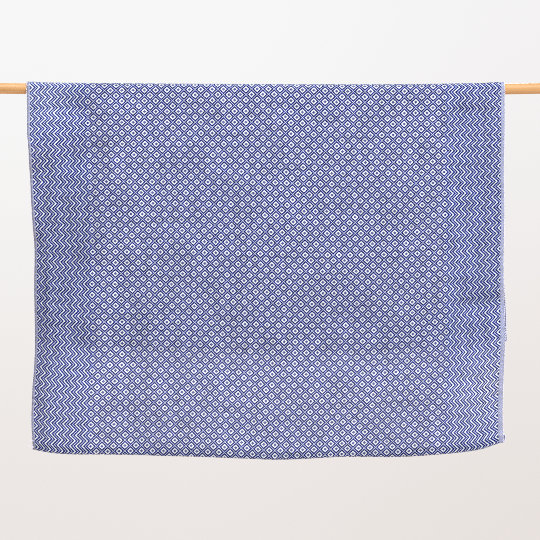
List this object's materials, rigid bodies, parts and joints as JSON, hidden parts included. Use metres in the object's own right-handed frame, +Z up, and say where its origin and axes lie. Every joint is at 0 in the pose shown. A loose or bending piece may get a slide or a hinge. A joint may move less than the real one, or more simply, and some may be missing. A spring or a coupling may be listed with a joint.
{
  "type": "tea towel on a wooden rod",
  "caption": "Woven tea towel draped over a round wooden rod, its front layer hanging lower than its back layer.",
  "frame": {"origin": "middle of the rod's axis, level with its two ends", "axes": "+X along the rod, +Y from the towel's front layer to its back layer, +Z up"},
  "size_m": [0.6, 0.0266, 0.3962],
  "materials": {
    "towel_cloth": "matte blue and white diamond twill",
    "rod_wood": "plain pale softwood"
  },
  "bodies": {
    "root": {"towel": "towel_cloth", "rod": "rod_wood"}
  },
  "joints": []
}
